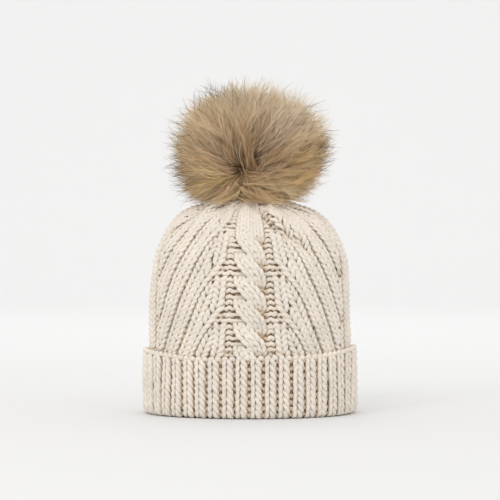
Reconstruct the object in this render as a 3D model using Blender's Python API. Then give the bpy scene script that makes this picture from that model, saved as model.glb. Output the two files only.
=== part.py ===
"""Knitted beanie with a turned-up ribbed cuff and a snap-on fur pompom.

Metres, +Z up.  The origin is the middle of the brim's footprint, the front
faces -Y and +X is on the right as the front is looked at.  The hat is a row of
nested shells of revolution, pressed a little flat from front to back like a head.

What moves: the cuff slides down off the brim, the snap pulls apart along +Z,
the socket turns on the stud, and the pompom leans on its socket.
"""

import math

import bmesh
import bpy

MM = 0.001
GAP = 0.3 * MM                    # clearance between pieces that touch on the real hat
WELD = 0.001 * MM                 # points closer than this are one point

# The knitted tube.  Radii are half-widths across the front of the hat.
BODY_RADIUS = 80.0 * MM
FABRIC = 4.5 * MM                 # thickness of the knit
DEPTH_RATIO = 0.85                # front-to-back size of the brim over its width
BRIM_HEIGHT = 48.0 * MM
BRIM_EDGE = 1.2 * MM              # rounding of the brim's edges
SHOULDER_START = 60.0 * MM        # the dome leaves the straight wall here
SHOULDER_PULL = 76.0 * MM         # upright reach of the dome's curve
SHOULDER_WIDTH = 70.0 * MM
CROWN_TOP = 167.5 * MM
CROWN_FLAT = 30.0 * MM            # radius of the gathered top
CROWN_DIMPLE = 1.5 * MM           # how far the gather pulls the middle down
GATHER_HOLE = 4.5 * MM

CUFF_GAP = 0.6 * MM
CUFF_FABRIC = 3.6 * MM
RIB_COUNT = 44
RIB_DEPTH = 0.8 * MM

SEAM_YARN = 0.9 * MM              # radius of the yarn that closes the back seam
SEAM_TOP = 140.0 * MM
LABEL_SIZE = (22.0 * MM, 0.6 * MM, 32.0 * MM)
LABEL_BESIDE = 20.0 * MM          # from the seam to the label's middle
LABEL_HEIGHT = 28.0 * MM
LABEL_CLEAR = 1.9 * MM

# The snap.  Its pieces are stacked upwards from the inside of the crown.
GATHER_YARN = 1.0 * MM
GATHER_RING = 8.0 * MM
PATCH_RADIUS = 20.0 * MM
PATCH_BOTTOM = 159.8 * MM
PATCH_TOP = 161.4 * MM
SNAP_RADIUS = 7.0 * MM
POST_RADIUS = 1.8 * MM
POST_HOLE = 2.3 * MM
STUD_FOOT = 166.3 * MM
STUD_FLANGE = 6.0 * MM
STUD_NECK = 2.6 * MM
STUD_BULB = 3.1 * MM
STUD_TOP = 171.0 * MM
SPRING_WIRE = 0.35 * MM
SPRING_RING = 3.55 * MM
SPRING_Z = 168.9 * MM
SOCKET_RADIUS = 6.2 * MM
SOCKET_MOUTH = 3.4 * MM
SOCKET_HOLLOW = 4.2 * MM
SOCKET_BOTTOM = 167.7 * MM
SOCKET_TOP = 172.0 * MM
DISC_RADIUS = 9.0 * MM
DISC_TOP = 173.3 * MM

# The pompom leans about a point in the middle of the closed snap.
PIVOT_Z = 171.5 * MM
POMPOM_HALF_WIDTH = 57.0 * MM
POMPOM_HALF_HEIGHT = 45.0 * MM
POMPOM_CENTRE_Z = 219.5 * MM
MOUTH_RADIUS = 9.2 * MM           # opening in the fur where the snap goes in
BACKING_RADIUS = 29.0 * MM        # inside of the fur fabric's backing
FILLING_CENTRE_Z = 205.0 * MM
FILLING_DIMPLE = 9.9 * MM         # room round the pivot for the snap
THREAD_RING = 10.5 * MM
THREAD_RADIUS = 0.8 * MM
THREAD_Z = 174.0 * MM

FINE = 48                         # facets round the hat and the fur
SMALL = 24                        # facets round the snap's pieces


def clear_scene():
    for leftover in list(bpy.data.objects):
        bpy.data.objects.remove(leftover, do_unlink=True)


def material(name, colour, roughness, metallic=0.0):
    made = bpy.data.materials.new(name)
    made.use_nodes = True
    shader = made.node_tree.nodes["Principled BSDF"]
    shader.inputs["Base Color"].default_value = (*colour, 1.0)
    shader.inputs["Roughness"].default_value = roughness
    shader.inputs["Metallic"].default_value = metallic
    made.diffuse_color = (*colour, 1.0)
    return made


def height_of(parent):
    """World height of a parent empty, summed up its chain; all are on the Z axis."""
    total = 0.0
    while parent is not None:
        total += parent.location.z
        parent = parent.parent
    return total


def joint_empty(name, z, parent=None):
    """An empty on a joint's axis.  The pieces that the joint moves are its children."""
    empty = bpy.data.objects.new(name, None)
    empty.empty_display_size = 10 * MM
    empty.parent = parent
    empty.location = (0.0, 0.0, z - height_of(parent))
    bpy.context.collection.objects.link(empty)
    return empty


def add_piece(bm, name, look, parent=None, crease=40.0):
    """Turns a bmesh drawn in world coordinates into a smooth-shaded object."""
    bmesh.ops.recalc_face_normals(bm, faces=bm.faces)
    bmesh.ops.translate(bm, verts=bm.verts, vec=(0.0, 0.0, -height_of(parent)))
    mesh = bpy.data.meshes.new(name)
    bm.to_mesh(mesh)
    bm.free()
    mesh.shade_smooth()
    mesh.set_sharp_from_angle(angle=math.radians(crease))
    mesh.materials.append(look)
    piece = bpy.data.objects.new(name, mesh)
    piece.parent = parent
    bpy.context.collection.objects.link(piece)
    return piece


def revolve(outline, segments):
    """Spins an outline of (radius, z) points round Z.

    An outline that starts on the axis ends on it too; any other is a closed loop.
    """
    bm = bmesh.new()
    points = [bm.verts.new((radius, 0.0, z)) for radius, z in outline]
    edges = [bm.edges.new(pair) for pair in zip(points, points[1:])]
    if outline[0][0] > 0.0:
        edges.append(bm.edges.new((points[-1], points[0])))
    bmesh.ops.spin(
        bm, geom=points + edges, cent=(0, 0, 0), axis=(0, 0, 1),
        angle=math.tau, steps=segments, use_merge=True,
    )
    bmesh.ops.remove_doubles(bm, verts=bm.verts, dist=WELD)
    return bm


def depth_at(radius):
    """Depth over width: DEPTH_RATIO at the brim, nearly round at the gather."""
    inward = max(0.0, 1.0 - radius / BODY_RADIUS)
    return DEPTH_RATIO + (1.0 - DEPTH_RATIO) * inward * inward


def press_flat(bm):
    for vert in bm.verts:
        vert.co.y *= depth_at(math.hypot(vert.co.x, vert.co.y))


def arc(centre, half_width, half_height, start_deg, end_deg, steps):
    """Points on an ellipse in the (radius, z) plane, ends included."""
    points = []
    for step in range(steps + 1):
        turn = math.radians(start_deg + (end_deg - start_deg) * step / steps)
        radius = centre[0] + half_width * math.cos(turn)
        z = centre[1] + half_height * math.sin(turn)
        points.append((max(radius, 0.0), z))
    return points


def bezier(controls, steps):
    """Points on a cubic Bezier curve in the (radius, z) plane, ends included."""
    points = []
    for step in range(steps + 1):
        t = step / steps
        weights = ((1 - t) ** 3, 3 * t * (1 - t) ** 2, 3 * t * t * (1 - t), t ** 3)
        radius = sum(weight * control[0] for weight, control in zip(weights, controls))
        z = sum(weight * control[1] for weight, control in zip(weights, controls))
        points.append((radius, z))
    return points


def crown_profile(inset, steps):
    """The crown from its straight wall up to the rim of its gathered hole."""
    wall = BODY_RADIUS - inset
    top = CROWN_TOP - inset
    curve = bezier(
        (
            (wall, SHOULDER_START),
            (wall, SHOULDER_START + SHOULDER_PULL - inset),
            (SHOULDER_WIDTH - inset, top),
            (CROWN_FLAT, top),
        ),
        steps,
    )
    dimple = top - CROWN_DIMPLE
    gather = [(2 * GATHER_HOLE, dimple), (GATHER_HOLE, dimple)]
    return [(wall, BRIM_HEIGHT + GAP)] + curve + gather


def make_crown(look):
    outline = crown_profile(0.0, 12) + crown_profile(FABRIC, 10)[::-1]
    bm = revolve(outline, FINE)
    press_flat(bm)
    return add_piece(bm, "knit_crown", look)


def band_profile(inner, outer):
    """An upright band with rounded edges and a flat foot at z = 0."""
    edge = BRIM_EDGE
    top = BRIM_HEIGHT
    return (
        arc((inner + edge, edge), edge, edge, 180, 270, 2)
        + arc((outer - edge, edge), edge, edge, 270, 360, 2)
        + [(outer, 0.5 * top)]
        + arc((outer - edge, top - edge), edge, edge, 0, 90, 2)
        + arc((inner + edge, top - edge), edge, edge, 90, 180, 2)
        + [(inner, 0.5 * top)]
    )


def make_inner_band(look):
    bm = revolve(band_profile(BODY_RADIUS - FABRIC, BODY_RADIUS), FINE)
    press_flat(bm)
    return add_piece(bm, "brim_inner_band", look)


def make_cuff(look, slide):
    """The turned-up half of the brim, with its ribs standing out from the wall."""
    inner = BODY_RADIUS + CUFF_GAP
    outer = inner + CUFF_FABRIC
    bm = revolve(band_profile(inner, outer), 2 * RIB_COUNT)
    for vert in bm.verts:
        radius = math.hypot(vert.co.x, vert.co.y)
        if radius > outer - 0.5 * BRIM_EDGE:
            ridge = 0.5 + 0.5 * math.cos(RIB_COUNT * math.atan2(vert.co.y, vert.co.x))
            vert.co.x *= 1.0 + RIB_DEPTH * ridge / radius
            vert.co.y *= 1.0 + RIB_DEPTH * ridge / radius
    press_flat(bm)
    return add_piece(bm, "turned_up_cuff", look, slide, crease=60.0)


def inside_back(z):
    """Depth of the hat's inner face at this height, on the line of the back seam."""
    profile = crown_profile(FABRIC, 24)
    radius = profile[0][0]
    for (lower_radius, lower_z), (upper_radius, upper_z) in zip(profile, profile[1:]):
        if lower_z < z <= upper_z:
            along = (z - lower_z) / (upper_z - lower_z)
            radius = lower_radius + (upper_radius - lower_radius) * along
    return radius * depth_at(radius)


def make_back_seam(look):
    curve = bpy.data.curves.new("back_seam_yarn", "CURVE")
    curve.dimensions = "3D"
    curve.bevel_depth = SEAM_YARN
    curve.bevel_resolution = 1
    curve.use_fill_caps = True
    count = 18
    spline = curve.splines.new("POLY")
    spline.points.add(count - 1)
    for number, point in enumerate(spline.points):
        z = 4 * MM + (SEAM_TOP - 4 * MM) * number / (count - 1)
        point.co = (0.0, inside_back(z) - SEAM_YARN - 3 * GAP, z, 1.0)
    curve.materials.append(look)
    piece = bpy.data.objects.new("back_seam_yarn", curve)
    bpy.context.collection.objects.link(piece)
    return piece


def make_label(look):
    """A blank sewn-in label beside the seam, flat against the inside of the band."""
    inner = BODY_RADIUS - FABRIC
    depth = inner * DEPTH_RATIO * math.sqrt(1.0 - (LABEL_BESIDE / inner) ** 2)
    slope = DEPTH_RATIO * DEPTH_RATIO * LABEL_BESIDE / depth
    bm = bmesh.new()
    bmesh.ops.create_cube(bm, size=1.0)
    bmesh.ops.scale(bm, verts=bm.verts, vec=LABEL_SIZE)
    piece = add_piece(bm, "care_label", look)
    piece.rotation_euler.z = -math.atan(slope)
    piece.location = (LABEL_BESIDE, depth - LABEL_CLEAR, LABEL_HEIGHT)
    return piece


def make_ring(name, ring_radius, wire_radius, z, look, parent=None):
    outline = arc((ring_radius, z), wire_radius, wire_radius, 0, 315, 7)
    return add_piece(revolve(outline, SMALL), name, look, parent)


def make_disc(name, outer, hole, bottom, top, look, parent=None):
    outline = [(hole, bottom), (outer, bottom), (outer, top), (hole, top)]
    return add_piece(revolve(outline, SMALL), name, look, parent)


def make_stud_cap(look):
    """The domed cap inside the hat, with the post that is riveted into the stud."""
    top = PATCH_BOTTOM - GAP
    outline = (
        arc((0.0, top - 0.6 * MM), SNAP_RADIUS, 1.4 * MM, -90, 0, 6)
        + [(SNAP_RADIUS, top), (POST_RADIUS, top), (POST_RADIUS, STUD_TOP - 1.7 * MM)]
        + [(0.0, STUD_TOP - 1.7 * MM)]
    )
    return add_piece(revolve(outline, SMALL), "snap_stud_cap", look)


def make_stud(look):
    """The male half: a flange, a neck and a bulb, hollow from below for the post."""
    roof = STUD_TOP - 1.4 * MM
    flange_top = STUD_FOOT + 0.9 * MM
    bulb = arc((STUD_BULB - 0.9 * MM, STUD_TOP - 0.9 * MM), 0.9 * MM, 0.9 * MM, -60, 90, 6)
    outline = (
        [(0.0, roof), (POST_HOLE - 0.2 * MM, roof), (POST_HOLE - 0.2 * MM, STUD_FOOT)]
        + [(STUD_FLANGE, STUD_FOOT), (STUD_FLANGE, flange_top), (STUD_NECK, flange_top)]
        + [(STUD_NECK, flange_top + 1.0 * MM)]
        + bulb
        + [(0.0, STUD_TOP)]
    )
    return add_piece(revolve(outline, SMALL), "snap_stud", look)


def make_socket(look, parent):
    """The female half: a cup that holds the spring round the stud."""
    ceiling = SOCKET_TOP - 0.7 * MM
    lip = SOCKET_BOTTOM + 0.6 * MM
    outline = [
        (SOCKET_MOUTH, SOCKET_BOTTOM),
        (SOCKET_RADIUS - 0.6 * MM, SOCKET_BOTTOM),
        (SOCKET_RADIUS, SOCKET_BOTTOM + 0.6 * MM),
        (SOCKET_RADIUS, SOCKET_TOP),
        (POST_HOLE, SOCKET_TOP),
        (POST_HOLE, ceiling),
        (SOCKET_HOLLOW, ceiling),
        (SOCKET_HOLLOW, lip),
        (SOCKET_MOUTH, lip),
    ]
    return add_piece(revolve(outline, SMALL), "snap_socket", look, parent)


def make_socket_cap(look, parent):
    """The cap inside the pompom, whose post is riveted down into the socket."""
    bottom = DISC_TOP + GAP
    foot = SOCKET_TOP - 0.5 * MM
    outline = (
        [(0.0, foot), (POST_RADIUS, foot), (POST_RADIUS, bottom), (SNAP_RADIUS, bottom)]
        + arc((0.0, bottom + 0.4 * MM), SNAP_RADIUS, 0.8 * MM, 0, 90, 6)
    )
    return add_piece(revolve(outline, SMALL), "snap_socket_cap", look, parent)


def angle_at(radius, half_width):
    """Degrees below the equator where an ellipse of this half-width has this radius."""
    return math.degrees(math.acos(radius / half_width))


def make_fur(look, parent):
    """The fur fabric with its pile, gathered round the mouth at the bottom."""
    outside = arc(
        (0.0, POMPOM_CENTRE_Z), POMPOM_HALF_WIDTH, POMPOM_HALF_HEIGHT,
        90, -angle_at(MOUTH_RADIUS, POMPOM_HALF_WIDTH), 16,
    )
    inside = arc(
        (0.0, FILLING_CENTRE_Z), BACKING_RADIUS, BACKING_RADIUS,
        -angle_at(MOUTH_RADIUS, BACKING_RADIUS), 90, 10,
    )
    return add_piece(revolve(outside + inside, FINE), "pompom_fur", look, parent)


def make_filling(look, parent):
    """The ball of stuffing, dimpled underneath where the snap's cap presses in."""
    radius = BACKING_RADIUS - 1.3 * GAP
    rise = FILLING_CENTRE_Z - PIVOT_Z
    # Height above the pivot of the circle where the dimple meets the ball.
    meet = (rise * rise + FILLING_DIMPLE ** 2 - radius ** 2) / (2 * rise)
    meet_radius = math.sqrt(FILLING_DIMPLE ** 2 - meet * meet)
    ball = arc(
        (0.0, FILLING_CENTRE_Z), radius, radius, 90, -angle_at(meet_radius, radius), 10,
    )
    dimple = arc(
        (0.0, PIVOT_Z), FILLING_DIMPLE, FILLING_DIMPLE,
        math.degrees(math.atan2(meet, meet_radius)), 90, 4,
    )
    return add_piece(revolve(ball + dimple[1:], SMALL), "pompom_filling", look, parent)


def build():
    clear_scene()
    yarn = material("cream_yarn", (0.68, 0.60, 0.50), 0.9)
    seam = material("seam_yarn", (0.62, 0.54, 0.44), 0.9)
    felt = material("felt", (0.60, 0.52, 0.42), 0.95)
    label = material("woven_label", (0.80, 0.78, 0.74), 0.7)
    metal = material("snap_metal", (0.55, 0.50, 0.42), 0.35, 1.0)
    spring = material("spring_wire", (0.62, 0.62, 0.62), 0.3, 1.0)
    fur = material("tan_fur", (0.42, 0.29, 0.17), 0.85)
    filling = material("fibre_filling", (0.85, 0.84, 0.82), 0.95)

    cuff_slide = joint_empty("cuff_slide", 0.0)
    snap_pull = joint_empty("snap_pull", PIVOT_Z)
    snap_turn = joint_empty("snap_turn", PIVOT_Z, snap_pull)
    pompom_lean = joint_empty("pompom_lean", PIVOT_Z, snap_turn)

    make_crown(yarn)
    make_inner_band(yarn)
    make_cuff(yarn, cuff_slide)
    make_back_seam(seam)
    make_label(label)

    make_ring("crown_gather_yarn", GATHER_RING, GATHER_YARN, STUD_FOOT + 1.1 * MM, seam)
    make_disc("crown_felt_patch", PATCH_RADIUS, POST_HOLE, PATCH_BOTTOM, PATCH_TOP, felt)
    make_stud_cap(metal)
    make_stud(metal)

    make_ring("snap_ring_spring", SPRING_RING, SPRING_WIRE, SPRING_Z, spring, snap_pull)
    make_socket(metal, snap_turn)
    make_disc(
        "pompom_base_disc", DISC_RADIUS, POST_HOLE, SOCKET_TOP + GAP, DISC_TOP, felt, snap_turn,
    )
    make_socket_cap(metal, snap_turn)

    make_fur(fur, pompom_lean)
    make_filling(filling, pompom_lean)
    make_ring("pompom_gather_thread", THREAD_RING, THREAD_RADIUS, THREAD_Z, seam, pompom_lean)


build()
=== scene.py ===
"""A cream hand-knitted beanie with a turned-up ribbed cuff and a fur pompom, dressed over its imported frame.

Every yarn is a closed tube that runs round the hat one course at a time and loops through the courses
above and below, so the ribs, the cable, the ladders beside it and the slanting panels are real stitches.
"""
import math

import bpy
import numpy as np
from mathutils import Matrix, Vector


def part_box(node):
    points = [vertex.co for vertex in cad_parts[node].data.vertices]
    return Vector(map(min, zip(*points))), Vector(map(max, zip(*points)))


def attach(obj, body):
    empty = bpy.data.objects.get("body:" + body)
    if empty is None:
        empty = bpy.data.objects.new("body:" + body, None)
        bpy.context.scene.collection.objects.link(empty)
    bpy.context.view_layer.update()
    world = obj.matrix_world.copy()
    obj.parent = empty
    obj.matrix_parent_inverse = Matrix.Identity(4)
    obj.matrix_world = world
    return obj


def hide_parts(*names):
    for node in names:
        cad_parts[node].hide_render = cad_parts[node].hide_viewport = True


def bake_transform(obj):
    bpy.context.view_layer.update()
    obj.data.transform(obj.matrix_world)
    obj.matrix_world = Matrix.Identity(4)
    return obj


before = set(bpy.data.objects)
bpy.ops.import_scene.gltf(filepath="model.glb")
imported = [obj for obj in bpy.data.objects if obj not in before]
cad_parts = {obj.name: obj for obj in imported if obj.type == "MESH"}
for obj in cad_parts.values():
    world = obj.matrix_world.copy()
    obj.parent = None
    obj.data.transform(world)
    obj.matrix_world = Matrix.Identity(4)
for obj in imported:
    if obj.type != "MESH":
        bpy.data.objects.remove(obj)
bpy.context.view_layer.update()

MM = 0.001
TAU = 2 * math.pi

# The knit, in millimetres. u runs round the hat from the middle of the front towards +X and h up the fabric.
ROUND = 466.4           # length of the full-width course
HALF = ROUND / 2
DEPTH_RATIO = 0.85      # front-to-back size of the hat over its width
BODY_RADIUS = 80.0
YARN = 3.2              # thickness of the yarn where it shows
KNIT_INSET = 3.0        # how far inside the surface the body's yarn runs
POINTS = 16             # centreline points to a stitch
SIDES = 6
BODY_FOOT = 44.0        # height of h = 0 on the body
BODY_PITCH = 4.5
BODY_COURSES = 37       # the lowest, hidden by the cuff, is left out
CABLE_WALE = 6.4
LADDER = 7.1
PLAIN_WALE = 7.4
CROSS_ROWS = 4          # courses between two crossings of the cable
CUFF_RIBS = 44
CUFF_TOP = 46.4
CUFF_PITCH = 5.0
CUFF_COURSES = 10
CUFF_YARN = 3.2
CUFF_CREST = 0.76       # share of a rib that its knit column takes
CUFF_LEAN = 0.23        # how far its loops slant
CAST_ON_YARN = 1.85     # radius
SPARE = 16.0            # how far the cuff's outline goes on past its top
FOOT = 0.3              # lowest h that a stitch of the cuff or the band reaches
BAND_YARN = 2.3
BAND_CREST = 0.62
BAND_TOP = 52.0         # the band's top course goes up behind the body's first one

random = np.random.RandomState(11)


# ------------ surfaces
def bezier(a, b, c, d, count):
    t = np.linspace(0, 1, count)[:, None]
    a, b, c, d = (np.array(p, float) for p in (a, b, c, d))
    return (1 - t) ** 3 * a + 3 * t * (1 - t) ** 2 * b + 3 * t * t * (1 - t) * c + t ** 3 * d


def along(points):
    """Distance from the first point along a polyline."""
    steps = np.linalg.norm(np.diff(points, axis=0), axis=1)
    return np.concatenate([[0], np.cumsum(steps)])


def unit(v):
    return v / np.maximum(np.linalg.norm(v, axis=-1, keepdims=True), 1e-9)


# Share of the way round the hat's oval against the angle from its front.
OVAL_ANGLE = np.linspace(0, TAU, 1441)
OVAL_SHARE = along(np.stack([np.sin(OVAL_ANGLE), -DEPTH_RATIO * np.cos(OVAL_ANGLE)], 1))
OVAL_SHARE /= OVAL_SHARE[-1]


class Surface:
    """A surface of revolution squeezed to the hat's oval, read by distance round it and distance up it."""

    def __init__(self, outline, relief=None):
        self.outline = np.array(outline, float)
        self.h = along(self.outline)
        self.relief = relief

    def base(self, u, h):
        r = np.interp(h, self.h, self.outline[:, 0])
        z = np.interp(h, self.h, self.outline[:, 1])
        # the oval turns round towards the top of the crown
        out = np.minimum(r / BODY_RADIUS, 1)
        ovalness = 1 - (1 - out) ** 2
        ratio = 1 - (1 - DEPTH_RATIO) * ovalness
        share = (u / ROUND) % 1.0
        angle = np.interp(share, OVAL_SHARE, OVAL_ANGLE) * ovalness + share * TAU * (1 - ovalness)
        return np.stack([r * np.sin(angle), -r * ratio * np.cos(angle), z], -1)

    def place(self, u, h, d):
        """Points at depth d outside the surface, and the surface's normal there."""
        step = 0.8
        du = self.base(u + step, h) - self.base(u - step, h)
        dh = self.base(u, h + step) - self.base(u, h - step)
        normal = unit(np.cross(du, dh))
        if self.relief is not None:
            d = d + self.relief(u, h)
        return self.base(u, h) + normal * d[..., None], normal


def smooth(x, low, high):
    """0 below low and 1 above high, eased between them."""
    t = np.clip((x - low) / (high - low), 0, 1)
    return t * t * (3 - 2 * t)


def mix(a, b, share):
    return a * (1 - share) + b * share


# ------------ meshes
def mesh_object(name, verts, quads, shade_depth=None, uv=None, colours=None):
    """A smooth mesh object from arrays in millimetres, with point attributes and a UV map."""
    mesh = bpy.data.meshes.new(name)
    mesh.vertices.add(len(verts))
    mesh.vertices.foreach_set("co", (np.asarray(verts, np.float32) * MM).ravel())
    mesh.loops.add(quads.size)
    mesh.loops.foreach_set("vertex_index", quads.astype(np.int32).ravel())
    mesh.polygons.add(len(quads))
    mesh.polygons.foreach_set("loop_start", np.arange(0, quads.size, quads.shape[1], dtype=np.int32))
    mesh.update(calc_edges=True)
    mesh.polygons.foreach_set("use_smooth", np.ones(len(quads), bool))
    # each point's depth, which the yarn's material turns into painted shade
    if shade_depth is not None:
        mesh.attributes.new("PaintedShadeDepth", "FLOAT", "POINT").data.foreach_set("value", shade_depth.astype(np.float32))
    if colours is not None:
        rgba = np.concatenate([colours, np.ones((len(colours), 1))], 1).astype(np.float32)
        mesh.attributes.new("Fur", "FLOAT_COLOR", "POINT").data.foreach_set("color", rgba.ravel())
    if uv is not None:
        mesh.uv_layers.new(name="Yarn").data.foreach_set("uv", uv.astype(np.float32).ravel())
    made = bpy.data.objects.new(name, mesh)
    bpy.context.scene.collection.objects.link(made)
    return made


def closed_spline(control, count, period):
    """count points on a closed Catmull-Rom curve through control, whose first coordinate grows by period."""
    n = len(control)
    shift = np.zeros(control.shape[1])
    shift[0] = period
    padded = np.concatenate([control[-1:] - shift, control, control[:2] + shift])
    s = np.arange(count) * (n / count)
    i = np.floor(s).astype(int)
    t = (s - i)[:, None]
    p0, p1, p2, p3 = (padded[i + k] for k in range(4))
    return 0.5 * (2 * p1 + (p2 - p0) * t + (2 * p0 - 5 * p1 + 4 * p2 - p3) * t ** 2
                  + (3 * p1 - p0 - 3 * p2 + p3) * t ** 3)


def off_the_ground(points, clear=0.12, ease=1.2):
    """Eases points that would dip below the hat's foot back above it."""
    z = points[..., 2:]
    eased = clear + ease * np.exp(np.minimum(z - clear - ease, 0) / ease)
    return np.concatenate([points[..., :2], np.where(z < clear + ease, eased, z)], -1)


def grid_faces(count, across, closed=(True, True), turned=False):
    """Quads over a grid of count by across points, closed on itself or open in each direction."""
    i = np.arange(count if closed[0] else count - 1)[:, None]
    j = np.arange(across if closed[1] else across - 1)[None]
    after, beside = (i + 1) % count, (j + 1) % across
    corners = [i * across + j, i * across + beside, after * across + beside, after * across + j]
    return np.stack([corners[k] for k in ((0, 3, 2, 1) if turned else (0, 1, 2, 3))], -1).reshape(-1, 4)


def closed_tube(centre, normal, wide, deep, depth):
    """A tube round a closed path, as verts, faces, uv and how open each vertex is to the light, the depth
    that its painted shade is coloured from.

    wide and deep are its radii along the fabric and across it, depth is how far out its middle lies.
    """
    tangent = unit(np.roll(centre, -1, 0) - np.roll(centre, 1, 0))
    side = unit(np.cross(tangent, normal))
    up = np.cross(side, tangent)
    angle = np.arange(SIDES) * (TAU / SIDES)
    ring = (centre[:, None] + up[:, None] * (deep[:, None] * np.cos(angle))[..., None]
            + side[:, None] * (wide[:, None] * np.sin(angle))[..., None])
    count = len(centre)
    length = along(np.concatenate([centre, centre[:1]]))[:, None] * np.ones(SIDES)
    v0 = np.ones((count, 1)) * np.arange(SIDES) / SIDES
    u0, u1, v1 = length[:-1], length[1:], v0 + 1 / SIDES
    uv = np.stack([u0, v0, u0, v1, u1, v1, u1, v0], -1)
    open_to_light = depth[:, None] + deep[:, None] * np.cos(angle)
    return (off_the_ground(ring).reshape(-1, 3), grid_faces(count, SIDES), uv.reshape(-1, 2),
            open_to_light.ravel())


def join_parts(parts):
    """Joins (verts, faces, uv, value) parts into one set of arrays."""
    verts, faces, uv, value = zip(*parts)
    starts = np.cumsum([0] + [len(v) for v in verts[:-1]])
    faces = [f + start for f, start in zip(faces, starts)]
    return tuple(np.concatenate(each) for each in (verts, faces, uv, value))


# ------------ stitches
# Half of a loop, seen from the knit side: x in stitch widths, y in courses, z in yarn thicknesses, and the
# yarn's plumpness on the knit and on the purl face. It swells where it shows and is pressed where it hides.
FOOT_TO_HEAD = np.array([
    (-0.12, -1.02, -0.60, 0.58, 0.98),
    (-0.075, -0.66, -0.06, 0.84, 0.78),
    (-0.245, -0.06, 0.52, 1.10, 0.62),
    (-0.425, 0.54, 0.20, 0.94, 0.78),
    (-0.29, 0.92, -0.50, 0.60, 0.98),
])
HEAD = np.array([(0.0, 1.12, -0.60, 0.56, 1.10)])
LOOP = np.concatenate([FOOT_TO_HEAD, HEAD, FOOT_TO_HEAD[::-1] * (-1, 1, 1, 1, 1)])
SINKER = (-1.06, 0.08, 0.62, 1.06)     # y, how far below the feet, plumpness on each face
TURN = 0.55                            # how far a stitch turns with its wale
LEG = 0.235                            # where an upright leg stands, in stitch widths from the wale's middle


def course(wales, pitch, yarn, level, flip=1, lean=0.0, relief=1.0, skew=0.0, low=-1e9, high=1e9):
    """The centreline of one closed course of loops: u, h, depth and plumpness.

    wales is a list of functions of h that give u, depth, stitch width and face, 1 for knit and -1 for purl.
    lean shears the loops, relief scales how deep they go and skew makes one leg plumper than the other.
    flip is -1 where they hang head down. low and high bound their heights.
    """
    controls = []
    faces = []
    for wale in wales:
        wobble = random.normal(0, 1, 4)        # of the loop's height, level, width and depth
        y = LOOP[:, 1] * flip * pitch * (1 + 0.03 * wobble[0]) + 0.17 * wobble[1]
        u, depth, _, _ = wale(level + y)
        _, _, width, face = wale(np.array([level]))
        face = face[0]
        if face < 0:
            y = y + 0.22 * wobble[1] + 0.05 * wobble[0] * LOOP[:, 0] * width[0]
        x = np.sign(LOOP[:, 0]) * (LEG + (np.abs(LOOP[:, 0]) - LEG) * (1 - wale.upright))
        x = np.where(LOOP[:, 0] == 0, 0, x) * width[0] * (1 + 0.06 * wobble[2])
        # a stitch stands square to a slanting wale
        ends = wale(np.array([level - pitch / 2, level + pitch / 2]))[0]
        turn = np.clip((ends[1] - ends[0]) / pitch, -0.9, 0.9)
        y = y - TURN * wale.turns * turn * x
        x = x - lean * y
        z = depth + LOOP[:, 2] * face * yarn * relief + 0.17 * wobble[3]
        plump = LOOP[:, 3 if face > 0 else 4] * wale.girth * (1 + skew * np.sign(LOOP[:, 0]) * (face > 0))
        controls.append(np.stack([u + x, level + y, z, plump], 1))
        faces.append(face)
    pieces = []
    for k, points in enumerate(controls):
        before = controls[k - 1][-1].copy()
        if k == 0:
            before[0] -= ROUND
        sinker = (before + points[0]) / 2
        mean_face = (faces[k - 1] + faces[k]) / 2
        sinker[1] = level + SINKER[0] * flip * pitch
        sinker[2] -= SINKER[1] * yarn * mean_face * relief
        sinker[3] = mix(*SINKER[2:], (1 - mean_face) / 2)
        pieces.append(np.concatenate([sinker[None], points]))
    control = np.concatenate(pieces)
    control[:, 1] = np.clip(control[:, 1], low, high)
    return closed_spline(control, len(wales) * POINTS, ROUND)


def knit_course(surface, path, radius, flat=0.92, inset=0.0):
    """The tube of one course. inset is how far inside the surface the middle of its yarn lies."""
    centre, normal = surface.place(path[:, 0], path[:, 1], path[:, 2])
    size = radius * path[:, 3]
    return closed_tube(centre, normal, size, size * flat, path[:, 2] + inset)


def dress(obj, material):
    """Gives obj its patterned material and its mesh the plain twin that stands in where none is read."""
    plain = bpy.data.materials.get(material.name + "_plain")
    obj.data.materials.append(plain)
    obj.material_slots[0].link = "OBJECT"
    obj.material_slots[0].material = material


def add_fabric(name, parts, body, material, limit):
    """Joins courses into pieces of at most limit courses, rides them and gives them their yarn."""
    made = []
    for start in range(0, len(parts), limit):
        verts, quads, uv, value = join_parts(parts[start:start + limit])
        piece = mesh_object(f"{name}_{start // limit:02d}", verts, quads, value, uv)
        dress(piece, material)
        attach(piece, body)
        made.append(piece)
    return made


# ------------ the body's chart
CROWN_OUTLINE = np.concatenate([
    [(BODY_RADIUS, BODY_FOOT)],
    bezier((80, 60), (80, 136), (70, 167.5), (30, 167.5), 160),
    bezier((30, 167.5), (22, 167.5), (12, 167.3), (9, 166), 20)[1:],
])
CROSS = CROSS_ROWS * BODY_PITCH
CROSS_SHIFT = -8.4      # puts the crossings where the chart has them
LAST_CROSSING = 5
LADDER_TOP = 112.0
LADDER_END = 2 * CABLE_WALE + LADDER
BRANCH_ROWS = 8
BRANCH = BRANCH_ROWS * BODY_PITCH
BRANCH_START = 27.0     # h at which the lowest furrow leaves the ladder
BRANCHES = 9            # branches from the lowest furrow up
PURL_PINCH = 0.065
WIDE_PURL = 6.6         # a purl gap wider than this takes two stitches
SIDE_WALES = 4
SIDE_WIDTH = 7.0
SIDE_START = HALF / 2 - SIDE_WALES * SIDE_WIDTH
# middle, width, face and depth of the columns between a panel and the side of the hat
SIDE_COLUMNS = ((2.4, 4.8, -1.0, -1.6), (8.7, 7.8, 1.0, 0.4), (16.5, 7.8, 1.0, 0.4), (24.2, 7.6, 1.0, 0.0))
PANEL = SIDE_START - LADDER_END

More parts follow.
